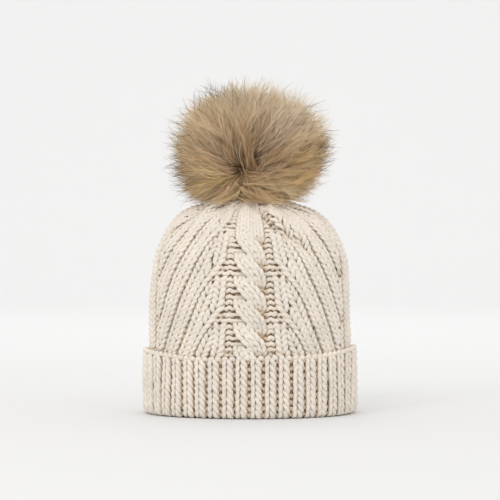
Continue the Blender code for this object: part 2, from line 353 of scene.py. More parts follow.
# The wales of one branch. A path is time, in branch heights down from where its furrow starts, and distance
# out from the ladder; then come when the wale starts and ends, its face and its depth.
OUTWARD = [1.0, 2.0, 3.0, 4.0]
BRANCH_WALES = (
    (([-0.1, 0.0, 0.25, 0.5] + OUTWARD, [8.5, 10.3, 18.0, 23.8, 31.8, 49.0, 66.0, 82.0]),
     -0.04, 9.0, -1.0, -2.2),
    (([0.05, 0.12, 0.25, 0.5] + OUTWARD, [10.6, 11.4, 13.4, 18.4, 25.6, 43.2, 60.4, 76.6]),
     0.08, 9.0, 1.0, 0.5),
    (([-0.15, 0.0, 0.48, 0.75] + OUTWARD, [4.4, 5.1, 5.1, 10.2, 17.4, 36.8, 54.4, 71.0]),
     -0.06, 9.0, 1.0, 0.8),
    (([0.66, 0.8, 0.95, 1.05], [1.5, 3.0, 4.5, 6.5]), 0.66, 0.98, -1.0, -0.9),
)


def crown_relief(u, h):
    """Slow swells of the fabric, the pleats that the gather pulls in and the soft fold on the right."""
    angle = u / ROUND * TAU
    swell = (0.55 * np.sin(2 * angle + 0.045 * h + 0.7) + 0.4 * np.sin(3 * angle - 0.06 * h + 2.1)
             + 0.3 * np.sin(5 * angle + 0.09 * h))
    pull = smooth(h, 70, 132)
    pleats = -4.2 + (1.3 * np.sin(11 * angle + 0.6 + 0.02 * h) + 0.9 * np.sin(17 * angle + 2.0)
              + 0.5 * np.sin(29 * angle + 4.0))
    front_u = np.where(u > HALF, u - ROUND, u)
    valley_h = np.interp(front_u, [8, 14, 20, 30, 43, 54], [134, 124, 110, 101, 94, 84])
    across = h - valley_h
    reach = smooth(front_u, 6, 15) * (1 - smooth(front_u, 42, 62))
    fold = reach * (-4.6 * np.exp(-(across / 4.0) ** 2) + 4.6 * np.exp(-((across - 10) / 6.5) ** 2))
    flat_top = smooth(h, 136, 152)
    gathered = mix(pull * pleats, 0.2 + 0.5 * np.sin(16 * angle + 1.0), flat_top)
    return swell * (0.4 + 0.6 * smooth(h, 10, 60)) + gathered + fold


crown = Surface(CROWN_OUTLINE, crown_relief)
crown_top_h = crown.h[-1]


def squeeze(h):
    """How much narrower the fabric is at h than at the brim."""
    return np.interp(h, crown.h, crown.outline[:, 0]) / BODY_RADIUS


def flattened(narrow):
    """How much of the stitches' depth is left where the fabric is gathered."""
    return 0.55 + 0.45 * narrow


def thinned(narrow):
    """The yarn's radius where the fabric is gathered."""
    return YARN / 2 * (0.42 + 0.58 * narrow)


def with_girth(wale, girth, upright=0.0, turns=1.0):
    """Gives a wale its yarn's plumpness, how upright its legs stand and how far its stitches turn."""
    wale.girth = girth
    wale.upright = upright
    wale.turns = turns
    return wale


def cable_wale(strand, place, centre):
    """A wale of the rope cable. strand is -1 or 1, place is which of the strand's two wales it is."""
    def at(h):
        turns = np.clip((h + CROSS_SHIFT) / CROSS, None, LAST_CROSSING)
        step = np.floor(turns)
        part = turns - step
        # side is where the strand stands before this crossing. The right one crosses in front to the left.
        side = strand * np.where(step % 2 == 0, 1.0, -1.0)
        front = side > 0
        eased = np.where(front, smooth(part, -0.12, 1.12), smooth(part, 0.3, 0.7))
        x = side * CABLE_WALE * (1 - 2 * eased)
        over = np.sin(np.clip(part, 0, 1) * math.pi)
        d = np.where(front, 0.4 + 2.9 * over, 0.4 - 3.4 * smooth(over, 0.35, 0.9))
        spread = 1 + 0.34 * np.where(front, over, 0)
        u = centre + x + (place - 0.5) * CABLE_WALE * spread
        return u, d, CABLE_WALE * spread, np.ones_like(h)
    return with_girth(at, 1.06, 0.30, 0.0)


def ladder_wale(side, centre):
    """The purl channel beside the cable."""
    def at(h):
        gone = smooth(h, LADDER_TOP - 24, LADDER_TOP + 8)
        u = centre + side * (2 * CABLE_WALE + LADDER / 2)
        return np.full_like(h, u), -0.9 + 0.3 * gone, LADDER * (0.92 - 0.25 * gone), -np.ones_like(h)
    return with_girth(at, 0.95)


def plain_wale(side, offset, centre, width, face, depth):
    """A wale that runs straight up."""
    def at(h):
        return (np.full_like(h, centre + side * offset), np.full_like(h, depth), np.full_like(h, width),
                np.full_like(h, face))
    return with_girth(at, 1.0)


def branch_wale(side, centre, path, start_h, shift, width, face, depth, begin, end):
    """A wale that runs out from the ladder and down along path, and sinks where it starts and ends."""
    def at(h):
        time = (start_h - h) / BRANCH
        out = np.interp(time, *path) + shift
        shown = smooth(time, begin - 0.10, begin + 0.12) * (1 - smooth(time, end - 0.05, end + 0.1))
        hidden = smooth(out, PANEL - 6, PANEL)
        d = depth - 1.7 * (1 - shown) - 0.3 * hidden
        return centre + side * (LADDER_END + out), d, np.full_like(h, width), np.full_like(h, face)
    return at


def panel_wales(side, centre, level):
    """The wales between a ladder and the side, from the ladder outwards."""
    found = []
    for branch in range(-1, BRANCHES):
        start_h = BRANCH_START + branch * BRANCH
        time = (start_h - level) / BRANCH
        for path, begin, end, face, depth in BRANCH_WALES:
            out = float(np.interp(time, *path))
            if begin <= time <= end and out < PANEL - 1:
                found.append((out, path, start_h, face, depth, begin, end))
    found.sort(key=lambda item: item[0])
    # a purl wale sinks between its knit neighbours, so it shows narrower than they do
    edges = [-1.0]
    edges += [a[0] + (b[0] - a[0]) * (0.5 + PURL_PINCH * (a[3] - b[3])) for a, b in zip(found, found[1:])]
    edges += [PANEL]
    wales = []
    for k, (out, path, start_h, face, depth, begin, end) in enumerate(found):
        shift = ((edges[k] + edges[k + 1]) / 2 - out) * 0.8
        width = min(max(edges[k + 1] - edges[k], 2.8), 9.4)
        stitches = 2 if face < 0 and width > WIDE_PURL else 1
        for place in range(stitches):
            own_width = width / stitches
            own_shift = shift + (place - (stitches - 1) / 2) * own_width
            wale = branch_wale(side, centre, path, start_h, own_shift, own_width, face, depth, begin, end)
            girth = 0.45 + 0.55 * own_width / PLAIN_WALE
            wales.append(with_girth(wale, min(max(girth, 0.72 if stitches > 1 else 0.6), 1.25), 0.1))
    return wales


def body_wales(row):
    """The wales of one course, in order of u, starting at the left side of the front."""
    level = row * BODY_PITCH
    wales = []
    for centre in (0.0, HALF):
        flank = {}
        for side in (-1, 1):
            sides = [plain_wale(side, SIDE_START + middle, centre, width, face, depth)
                     for middle, width, face, depth in SIDE_COLUMNS]
            flank[side] = [ladder_wale(side, centre)] + panel_wales(side, centre, level) + sides
        turn = min(math.floor((level + CROSS_SHIFT) / CROSS + 0.5), LAST_CROSSING)
        left = -1 if turn % 2 == 0 else 1
        cable = [cable_wale(strand, place, centre) for strand in (left, -left) for place in (0, 1)]
        wales += flank[-1][::-1] + cable + flank[1]
    return wales


# ------------ the ribbed cuff and band
CUFF_OUTLINE = np.concatenate([
    bezier((79.6, 2.0), (80.4, 1.9), (81.4, 2.6), (81.7, 5.0), 12),
    [(81.7, 30.0), (81.4, CUFF_TOP + SPARE)],
])
BAND_OUTLINE = np.concatenate([
    bezier((76.6, 2.0), (76.0, 2.0), (75.6, 3.0), (75.5, 5.0), 12),
    [(75.5, BODY_FOOT + 12)],
])


def cuff_relief(u, h):
    angle = u / ROUND * TAU
    return (0.5 * np.sin(3 * angle + 1.0) + 0.35 * np.sin(7 * angle + 0.05 * h + 2.0)
            + 0.2 * np.sin(13 * angle + 0.1 * h))


def cuff_rise(u):
    """How much taller the cuff stands at its sides than in the middle of its front and back."""
    angle = u / ROUND * TAU
    return 1 + 0.10 * np.sin(angle) ** 4 + 0.02 * np.sin(angle) + 0.008 * np.sin(5 * angle + 1)


cuff_surface = Surface(CUFF_OUTLINE, cuff_relief)
band_surface = Surface(BAND_OUTLINE)


def rib_wales(crest, raised, sunk, upright):
    """Knit and purl columns by turns, with the knit ones standing out."""
    period = ROUND / CUFF_RIBS
    wales = []
    for k in range(CUFF_RIBS):
        start = (k - CUFF_RIBS / 2) * period + 0.25 * math.sin(k * 2.3)
        knit = plain_wale(1, start + period * crest / 2, 0.0, period * crest * 1.06, 1.0, raised)
        purl = plain_wale(1, start + period * (1 + crest) / 2, 0.0, period * (1 - crest) * 1.1, -1.0, sunk)
        wales += [with_girth(knit, 1.02, upright), with_girth(purl, 0.85)]
    return wales


def cast_on_edge(surface, level, radius):
    """The row of round little loops along the cuff's cast-on edge."""
    loops = CUFF_RIBS * 2
    t = np.arange(loops * 14) / 14
    wobble = 0.3 * np.sin(t * 2.33) + 0.25 * np.sin(t * 3.81 + 2)
    dip = np.abs(np.cos(math.pi * (t + 0.04 * wobble)))
    h = (level - 2.4 * dip ** 2.0 + 0.25 * wobble) * cuff_rise(t * (ROUND / loops))
    d = 1.3 - 2.6 * dip ** 2.2
    path = np.stack([t * (ROUND / loops), h, d, 1.02 - 0.3 * dip ** 2], 1)
    return knit_course(surface, path, radius, 1.0)


# ------------ materials
def set_inputs(made, **values):
    """Sets the inputs of a node by name, with _ for a space, or links them where the value is a socket."""
    for key, value in values.items():
        socket = made.inputs[key.replace("_", " ")]
        if isinstance(value, bpy.types.NodeSocket):
            made.id_data.links.new(value, socket)
        else:
            socket.default_value = value


def node(tree, kind, **values):
    """A new node, with its properties and its inputs given by name."""
    made = tree.nodes.new(kind)
    made.location.x = 200 * len(tree.nodes) - 3400       # in a row that ends at the shader
    for key, value in values.items():
        if hasattr(made, key):
            setattr(made, key, value)
        else:
            set_inputs(made, **{key: value})
    return made


def maths(tree, operation, *values):
    """The output of a Math node whose inputs are sockets or numbers."""
    made = node(tree, "ShaderNodeMath", operation=operation)
    for socket, value in zip(made.inputs, values):
        if isinstance(value, float):
            socket.default_value = value
        else:
            tree.links.new(value, socket)
    return made.outputs[0]


def map_range(tree, value, low, high, to_low=0.0, to_high=1.0):
    return node(tree, "ShaderNodeMapRange", Value=value, From_Min=low, From_Max=high, To_Min=to_low,
                To_Max=to_high).outputs[0]


def ramp(tree, value, stops):
    """The colour of a ramp read at value."""
    made = node(tree, "ShaderNodeValToRGB", Fac=value)
    bar = made.color_ramp
    while len(bar.elements) < len(stops):
        bar.elements.new(0.5)
    for element, (position, colour) in zip(bar.elements, stops):
        element.position = position
        element.color = (*colour, 1)
    return made.outputs["Color"]


def blank(name):
    made = bpy.data.materials.new(name)
    made.use_nodes = True
    tree = made.node_tree
    return made, tree, tree.nodes["Principled BSDF"]


def plain_twin(name, colour, roughness=0.9, metallic=0.0):
    """The one-colour material that goes with a patterned one."""
    made, _, shader = blank(name + "_plain")
    set_inputs(shader, Base_Color=(*colour, 1), Roughness=roughness, Metallic=metallic)
    made.use_fake_user = True


PLIES = 3.0
PLY_TURNS = 0.42        # plies that pass along a millimetre of yarn


def yarn_material(name, deep, middle, high, full_shade_depth, full_light_depth):
    """Cream wool with painted shade and light: darker and warmer where the yarn lies deep, lighter on its
    crests, with plies that wind round it.
    """
    made, tree, shader = blank(name)
    plain_twin(name, middle)
    shade_depth = node(tree, "ShaderNodeAttribute", attribute_name="PaintedShadeDepth")
    # painted shade and highlight: with depth the colour goes from a warm deep brown through the wool's own
    # cream to a lighter crest
    reach = map_range(tree, shade_depth.outputs["Fac"], full_shade_depth, full_light_depth)
    tones = ramp(tree, reach, [(0.0, deep), (0.45, middle), (1.0, high)])
    place = node(tree, "ShaderNodeTexCoord").outputs["Object"]
    cloud = node(tree, "ShaderNodeTexNoise", Scale=55.0, Detail=3.0, Vector=place)
    shade = map_range(tree, cloud.outputs["Fac"], 0.3, 0.7, 0.93, 1.04)
    tint = node(tree, "ShaderNodeMix", data_type="RGBA", blend_type="MULTIPLY", Factor=1.0, A=tones,
                B=shade)
    yarn_uv = node(tree, "ShaderNodeUVMap", uv_map="Yarn")
    split = node(tree, "ShaderNodeSeparateXYZ", Vector=yarn_uv.outputs["UV"])
    run = maths(tree, "MULTIPLY", split.outputs["X"], PLY_TURNS)
    wind = maths(tree, "MULTIPLY_ADD", split.outputs["Y"], PLIES, run)
    ply = maths(tree, "PINGPONG", wind, 0.5)
    fibre = node(tree, "ShaderNodeTexNoise", Scale=1400.0, Detail=2.0, Vector=place)
    rough = maths(tree, "MULTIPLY_ADD", fibre.outputs["Fac"], 0.5, ply)
    bump = node(tree, "ShaderNodeBump", Strength=0.55, Distance=0.0006, Height=rough)
    set_inputs(shader, Base_Color=tint.outputs["Result"], Normal=bump.outputs["Normal"], Roughness=0.92,
               Specular_IOR_Level=0.15, Sheen_Weight=0.35, Sheen_Roughness=0.6,
               Sheen_Tint=(1.0, 0.95, 0.88, 1.0))
    return made


# WOOL is the yarn's own cream; the lighter crest and the deep browns below are painted light and painted
# shade
WOOL = (0.81, 0.69, 0.55)
WOOL_LIT_CREST = (0.92, 0.845, 0.755)
cream = yarn_material("cream_wool", (0.56, 0.375, 0.205), WOOL, WOOL_LIT_CREST, -1.5, 2.5)
cuff_cream = yarn_material("cream_wool_rib", (0.60, 0.385, 0.195), WOOL, WOOL_LIT_CREST, -1.1, 2.2)

# ------------ knitting
crown_parts = []
for row in range(1, BODY_COURSES):
    path = course(body_wales(row), BODY_PITCH, YARN, row * BODY_PITCH)
    path[:, 1] = np.clip(path[:, 1], 0.2, crown_top_h - 0.5)
    narrow = squeeze(path[:, 1])
    path[:, 2] = (path[:, 2] - KNIT_INSET) * flattened(narrow)
    crown_parts.append(knit_course(crown, path, thinned(narrow), inset=KNIT_INSET))
crown_pieces = add_fabric("crown_course", crown_parts, "hat", cream, 5)

rib = rib_wales(CUFF_CREST, 0.8, -1.9, 0.35)
cuff_parts = []
cuff_high = cuff_surface.h[-1] - SPARE
for row in range(CUFF_COURSES):
    level = cuff_high - 3.6 - row * CUFF_PITCH
    path = course(rib, CUFF_PITCH, CUFF_YARN, level, flip=-1, lean=CUFF_LEAN, relief=0.7, skew=0.04,
                  low=FOOT, high=cuff_high - 1.5)
    path[:, 1] *= cuff_rise(path[:, 0])
    cuff_parts.append(knit_course(cuff_surface, path, CUFF_YARN / 2))
cuff_parts.append(cast_on_edge(cuff_surface, cuff_high, CAST_ON_YARN))
cuff_pieces = add_fabric("cuff_course", cuff_parts, "cuff", cuff_cream, 6)

band_rib = rib_wales(BAND_CREST, 0.25, -0.45, 0.2)
band_parts = []
for row in range(CUFF_COURSES):
    level = 3.0 + row * CUFF_PITCH
    path = course(band_rib, CUFF_PITCH, BAND_YARN, level, relief=0.5, low=FOOT, high=BAND_TOP)
    band_parts.append(knit_course(band_surface, path, BAND_YARN / 2))
band_pieces = add_fabric("band_course", band_parts, "hat", cuff_cream, 6)

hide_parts("knit_crown")
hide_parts("turned_up_cuff")
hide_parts("brim_inner_band")


# ------------ linings behind the stitches
LINING_AROUND = 264
# painted shade: the lining wears a darker, warmer cream than the yarn, for the shade between the stitches
lining = yarn_material("wool_inside", (0.60, 0.41, 0.235), (0.62, 0.49, 0.36), (0.74, 0.63, 0.5), -2.6, 2.2)


def line_fabric(name, surface, h_values, d_out, d_in, body):
    """A thin closed shell behind the stitches, so that no light comes through between them, coloured with
    painted shade.
    """
    u = np.arange(LINING_AROUND) * (ROUND / LINING_AROUND)
    loop_h = np.concatenate([h_values, h_values[::-1]])
    loop_d = np.concatenate([np.full(len(h_values), d_out), np.full(len(h_values), d_in)])
    uu, hh = np.meshgrid(u, loop_h, indexing="ij")
    _, dd = np.meshgrid(u, loop_d, indexing="ij")
    points, _ = surface.place(uu, hh, dd)
    rows = len(loop_h)
    # every point is given a deep -2.0, so the lining shows the yarn's painted shade
    made = mesh_object(name, points.reshape(-1, 3), grid_faces(LINING_AROUND, rows, turned=True),
                       np.full(LINING_AROUND * rows, -2.0))
    dress(made, lining)
    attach(made, body)


line_fabric("crown_inside", crown, np.arange(3, crown_top_h - 1, 2.3), -4.6, -5.0, "hat")
line_fabric("band_inside", band_surface, np.linspace(1.0, BAND_TOP, 22), -1.0, -1.4, "hat")
line_fabric("cuff_inside", cuff_surface, np.linspace(2.5, 45, 20), -2.2, -2.7, "cuff")

# ------------ the fur pompom
BALL_CENTRE = np.array((0.0, 0.0, 205.0))  # the stuffed backing that the hair grows from
BALL = 29.0
FUR_CENTRE = np.array((1.5, 0.0, 210.0))  # the coat's middle, its half sizes and how boxy it is
FUR_REACH = np.array((61.0, 55.0, 45.0))
HANG = (1.2, 1.6)              # its reach down over its reach up, at the sides and in front
BOXY = (2.25, 2.7)             # above and below
WHORLS = np.array(((-0.17, -0.86, -0.48), (0.15, 0.90, -0.41)))  # where the coat parts, front and back
PARTING = math.radians(29)
CLUMPS = 1250
STRANDS = 27                   # to a clump
GUARD_HAIRS = 3400
RINGS = 7                      # points along a strand
STRANDS_PER_PIECE = 5000
TAPER = np.array([1.0, 1.0, 0.95, 0.87, 0.74, 0.55, 0.18])  # of a strand's radius at each ring
HIGHEST_HAIR = 279.0
CLEAR = 0.4                    # how far every hair stays above the knit
LOOSE_SHARE = 0.28             # of the strands, which stray this many times further from their clump
LOOSENESS = 2.6
DARK_CLUMPS = 0.26             # how many clumps have dark tips where every guard hair has them
ROOT_BROWN = np.array((0.19, 0.105, 0.045))
MID_BROWN = np.array((0.60, 0.34, 0.145))
TAN = np.array((0.96, 0.69, 0.395))
CREAM = np.array((0.93, 0.745, 0.515))
PALE_LIGHT = np.array((0.97, 0.83, 0.64))
GOLD = np.array((0.90, 0.61, 0.25))
DARK_TIP = np.array((0.045, 0.03, 0.022))


def crown_heights():
    """The knit's highest point at each distance from the hat's axis, whichever way the pompom is turned."""
    h = np.arange(60.0, crown_top_h, 0.7)
    u = np.arange(240) * (ROUND / 240)
    uu, hh = np.meshgrid(u, h, indexing="ij")
    narrow = squeeze(hh)
    crest = -1.3 * flattened(narrow) + thinned(narrow)
    points, _ = crown.place(uu, hh, crest)
    r = np.hypot(points[..., 0], points[..., 1]).ravel()
    z = points[..., 2].ravel()
    radii = np.arange(0, 80, 2.0)
    tops = np.array([z[np.abs(r - radius) < 2.5].max(initial=0) for radius in radii])
    tops[radii < 9] = tops[radii >= 9].max()
    return radii, np.maximum.accumulate(tops[::-1])[::-1]


CROWN_RADII, CROWN_TOPS = crown_heights()


def over_crown(points, clear):
    """Lifts points that would lie in the crown of the hat to clear above it."""
    r = np.hypot(points[..., 0], points[..., 1] * 1.02)
    top = np.interp(r, CROWN_RADII, CROWN_TOPS)
    lifted = points.copy()
    lifted[..., 2] = np.maximum(points[..., 2], top + clear)
    return lifted


def growth(count, spread):
    """Root directions all round the backing and where the hair from each ends, parted at the whorls."""
    k = np.arange(count) + 0.5
    up = 1 - 2 * k / count
    turn = k * math.pi * (3 - math.sqrt(5))
    flat = np.sqrt(1 - up * up)
    n = np.stack([flat * np.cos(turn), flat * np.sin(turn), up], 1)
    n = unit(n + random.normal(0, 0.035, (count, 3)))
    n = n[n[:, 2] > -0.93]
    whorl = unit(np.where(n[:, 1:2] < 0, WHORLS[0], WHORLS[1]))
    cosine = np.sum(n * whorl, 1, keepdims=True)
    away = -unit(whorl - n * cosine)
    across = np.cross(n, away)
    from_whorl = np.arccos(np.clip(cosine, -1, 1))
    parting = PARTING * (1 - smooth(from_whorl, 0.3, 1.75))
    loosely = spread * (1 + 1.3 * (1 - smooth(from_whorl, 0.2, 0.9)))
    end = n * np.cos(parting) + away * np.sin(parting) + across * random.normal(0.04, 0.20, (len(n), 1))
    end = unit(end + random.normal(0, 1, n.shape) * loosely)
    # in front and behind, what would grow down into the crown lies forward over its edge instead
    low = np.maximum(-0.5 - end[:, 2:3], 0)
    over_edge = -0.5 - 0.24 * np.tanh(low / 0.24)
    drop = end[:, 2:3] + (over_edge - end[:, 2:3]) * facing(end) * (low > 0)
    return n, np.concatenate([unit(end[:, :2]) * np.sqrt(1 - drop ** 2), drop], 1)


def facing(direction):
    """1 where a direction looks to the front or the back, 0 where it looks to the sides."""
    flat = np.hypot(direction[:, 0:1], direction[:, 1:2])
    return smooth(np.abs(direction[:, 1:2]) / np.maximum(flat, 1e-6), 0.45, 0.9)


def coat_reach(direction):
    """How far the coat reaches from its middle in each direction."""
    hang = mix(*HANG, facing(direction))
    right_low = smooth(direction[:, 0:1], 0.2, 0.8) * smooth(-direction[:, 2:3], 0.0, 0.5)
    front_low = facing(direction) * smooth(-direction[:, 2:3], 0.25, 0.6)
    scaled = direction.copy()
    scaled[:, 2:3] = np.where(direction[:, 2:3] < 0, direction[:, 2:3] / hang, direction[:, 2:3])
    power = mix(*BOXY, smooth(-direction[:, 2:3], -0.3, 0.3))
    reach = np.sum(np.abs(scaled / FUR_REACH) ** power, 1, keepdims=True) ** (-1 / power)
    return reach * (1 - 0.10 * right_low + 0.05 * front_low)


def strand_curves(root, bend, tip, stop, wave, phase):
    """Points along strands: quadratic curves that stop at a share of their length, with a slow wave."""
    s = np.linspace(0, 1, RINGS)[None, :, None] * stop[:, None, None]
    points = (1 - s) ** 2 * root[:, None] + 2 * s * (1 - s) * bend[:, None] + s * s * tip[:, None]
    sideways = unit(np.cross(tip - root, random.normal(0, 1, root.shape)))
    points += (sideways * wave[:, None])[:, None] * s * np.sin(4.2 * s + phase[:, None, None])
    return points


def strand_tubes(points, radius, colours):
    """Three-sided tubes round strands."""
    count, rings, _ = points.shape
    tangent = unit(np.gradient(points, axis=1))
    side = unit(np.cross(tangent, unit(random.normal(0, 1, (count, 1, 3)))))
    up = np.cross(side, tangent)
    angle = (np.arange(3) * (TAU / 3))[None, None, :, None]
    verts = points[:, :, None] + radius[:, :, None, None] * (side[:, :, None] * np.cos(angle)
                                                              + up[:, :, None] * np.sin(angle))
    first = (np.arange(count)[:, None, None] * rings + np.arange(rings - 1)[None, :, None]) * 3
    a = first + np.arange(3)
    b = first + (np.arange(3) + 1) % 3
    quads = np.stack([a, b, b + 3, a + 3], -1).reshape(-1, 4)
    return verts.reshape(-1, 3), quads, np.repeat(colours.reshape(-1, 3), 3, 0)


def near(points, x, z, width, height):
    """1 at a place on the coat as seen from the front, fading to 0 over width and height."""
    return np.exp(-((points[:, 0] - x) / width) ** 2 - ((points[:, 2] - z) / height) ** 2)[:, None]


def coat_colours(tip, stop, tone, dark, guard, dark_from):
    """Colours along strands from where they end, how light their clump is and how dark their tip is, with
    painted light on the coat's rim and top.

    guard is how far a hair has the pale tone of the long outer hairs, dark_from where its dark tip starts.
    """
    # painted light: the coat is painted lighter and more tan towards its rim as seen from the front, for
    # light that comes through the thin fur there
    lit_rim = smooth(np.hypot((tip[:, 0:1] + 4) / 60, (tip[:, 2:3] - 203) / 50), 0.52, 0.92)
    middle = mix(MID_BROWN, TAN, lit_rim)
    middle *= 0.50 + 0.42 * lit_rim + (0.58 - 0.34 * lit_rim) * tone
    gold = np.clip(near(tip, 56, 204, 20, 19) + near(tip, -54, 180, 14, 12), 0, 1) * 0.9
    middle = mix(middle, GOLD * (0.8 + 0.35 * tone), gold)
    # painted light: the top and the upper sides of the coat, where the light from above falls, are painted
    # paler
    pale = np.clip(near(tip, 44, 240, 27, 22) + 0.95 * near(tip, 2, 260, 52, 15)
                   + 0.4 * near(tip, -44, 226, 14, 22), 0, 1)
    middle = mix(middle, PALE_LIGHT * (0.9 + 0.1 * tone), 0.85 * pale)
    middle = mix(middle, mix(CREAM, PALE_LIGHT, pale) * (0.86 + 0.16 * tone), guard)
    light = smooth(tone, 0.55, 0.95) * (1 - 0.6 * pale)
    ended = mix(middle, CREAM, 0.7 * light)
    own = np.linspace(0, 1, RINGS)[None, :, None]
    s = own * stop[:, None, None]
    colours = mix(ROOT_BROWN * (0.75 + 0.5 * tone[:, None]), middle[:, None], smooth(s, 0.06, 0.46))
    colours = mix(colours, ended[:, None], smooth(s, 0.42, 0.80))
    to_dark = smooth(own, dark_from, dark_from + 0.22) * dark[:, None]
    return np.clip(mix(colours, DARK_TIP, to_dark), 0.01, 0.93)


def dark_share(tip):
    """How many of the strands that end here have black-brown tips."""
    return np.clip(0.06 + 0.95 * near(tip, -64, 196, 9, 34) + 0.6 * near(tip, -32, 258, 24, 8)
                   + 0.95 * near(tip, 66, 206, 8, 18), 0, 0.9)[:, 0]


def grow_coat():
    """Points, radii and colours along the strands of the clumps and of the longer guard hairs."""
    n, end = growth(CLUMPS, 0.085)
    ragged = (random.uniform(0.84, 1.03, (len(n), 1))
              + 0.09 * random.normal(0, 1, (len(n), 1)) * np.clip(end[:, 2:3], 0, 1))
    tip = FUR_CENTRE + end * coat_reach(end) * np.clip(ragged, 0.66, 1.13)
    tip = over_crown(tip, 0.6)
    tone = random.beta(0.9, 0.9, (len(n), 1))
    darker = random.uniform(0, 1, len(n))
    wave = random.normal(0, 4.0, len(n))
    phase = random.uniform(0, TAU, len(n))
    bow = random.normal(0, 6.5, (len(n), 3))
    of = np.repeat(np.arange(len(n)), STRANDS)
    loose = np.where(random.uniform(0, 1, (len(of), 1)) < LOOSE_SHARE, LOOSENESS, 1.0)
    root_n = unit(n[of] + random.normal(0, 0.06, (len(of), 3)))
    root = BALL_CENTRE + root_n * BALL * 0.97
    tips = tip[of] + random.normal(0, 1.05, (len(of), 3)) * loose
    length = np.linalg.norm(tips - root, axis=1, keepdims=True)
    bend = root + root_n * length * 0.42 + bow[of] + random.normal(0, 1.5, (len(of), 3)) * loose
    stop = random.uniform(0.70, 1.05, len(of))
    curves = strand_curves(root, bend, tips, stop, wave[of] + random.normal(0, 0.5, len(of)),
                           phase[of] + random.normal(0, 0.4, len(of)))
    tones = np.clip(tone[of] + random.normal(0, 0.17, (len(of), 1)), 0, 1)
    dark = (darker[of] < DARK_CLUMPS * dark_share(tips)) * random.uniform(0.3, 1, len(of))
    coats = [(over_crown(curves, CLEAR), 0.21 + 0.03 * random.normal(0, 1, len(of)),
              coat_colours(tips, stop, tones, dark[:, None], 0.0, 0.74))]

    n, end = growth(GUARD_HAIRS, 0.13)
    reach = (random.uniform(1.0, 1.2, (len(n), 1))
             + 0.22 * np.clip(end[:, 2:3], 0, 1) * random.uniform(0, 1, (len(n), 1)))
    tip = over_crown(FUR_CENTRE + end * coat_reach(end) * reach, 2.0)
    tip[:, 2] = np.minimum(tip[:, 2], HIGHEST_HAIR)
    root = BALL_CENTRE + n * BALL
    length = np.linalg.norm(tip - root, axis=1, keepdims=True)
    bend = root + n * length * 0.45 + random.normal(0, 4, n.shape)
    stop = random.uniform(0.85, 1.0, len(n))
    curves = strand_curves(root, bend, tip, stop, random.normal(0, 2.5, len(n)),
                           random.uniform(0, TAU, len(n)))
    dark = (random.uniform(0, 1, len(n)) < dark_share(tip) + 0.02) * random.uniform(0.75, 1, len(n))
    # guard hairs keep half the outer hairs' own pale tone; the rise towards the top is painted light where
    # the light from above falls
    coats.append((over_crown(curves, CLEAR), 0.14 + 0.12 * dark,
                  coat_colours(tip, stop, random.uniform(0, 1, (len(n), 1)), dark[:, None],
                               0.5 + 0.45 * smooth(tip[:, 2:3], 225, 250), 0.56)))
    points, radius, colours = (np.concatenate(each) for each in zip(*coats))
    return points, radius[:, None] * TAPER, colours


def fur_material():
    made, tree, shader = blank("long_fur")
    plain_twin("long_fur", MID_BROWN, 0.7)
    colour = node(tree, "ShaderNodeAttribute", attribute_name="Fur")
    set_inputs(shader, Base_Color=colour.outputs["Color"], Roughness=0.6, Specular_IOR_Level=0.18,
               Sheen_Weight=0.32, Sheen_Roughness=0.5, Sheen_Tint=(1.0, 0.86, 0.66, 1.0))
    return made


def fur_backing():
    """The stuffed cloth ball under the hair, lumpy where it is gathered round its filling."""
    around, rings = 96, 48
    theta = (np.arange(around) * TAU / around)[:, None]
    rise = np.linspace(0.02, math.pi - 0.02, rings)[None]
    n = np.stack([np.sin(rise) * np.cos(theta), np.sin(rise) * np.sin(theta), np.cos(rise) + 0 * theta], -1)
    gathers = 0.5 * np.sin(14 * theta) * np.sin(rise) * smooth(rise, 1.9, 2.9)
    lumps = 0.5 * np.sin(3 * theta + 2 * rise) + 0.4 * np.sin(5 * theta - 4 * rise + 1)
    points = BALL_CENTRE + n * (BALL - 0.4 + gathers + lumps)[..., None]
    from_axis = np.hypot(points[..., 0], points[..., 1])
    points[..., 2] += 4.0 * np.exp(-(from_axis / 9.5) ** 2) * (n[..., 2] < 0)      # drawn in over the snap
    return mesh_object("pompom_backing", points.reshape(-1, 3), grid_faces(around, rings, (True, False)))


fur_yarn = fur_material()
strands, thickness, tints = grow_coat()
shuffled = random.permutation(len(strands))
for first in range(0, len(strands), STRANDS_PER_PIECE):
    pick = shuffled[first:first + STRANDS_PER_PIECE]
    verts, quads, colours = strand_tubes(strands[pick], thickness[pick], tints[pick])
    piece = mesh_object(f"pompom_coat_{first // STRANDS_PER_PIECE:02d}", verts, quads, colours=colours)
    dress(piece, fur_yarn)
    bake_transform(piece)
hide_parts("pompom_fur")
backing = fur_backing()
backing_cloth, _, backing_shader = blank("fur_backing_cloth")
set_inputs(backing_shader, Base_Color=(0.16, 0.10, 0.055, 1), Roughness=0.95)
backing.data.materials.append(backing_cloth)
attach(backing, "pompom")
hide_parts("pompom_filling")

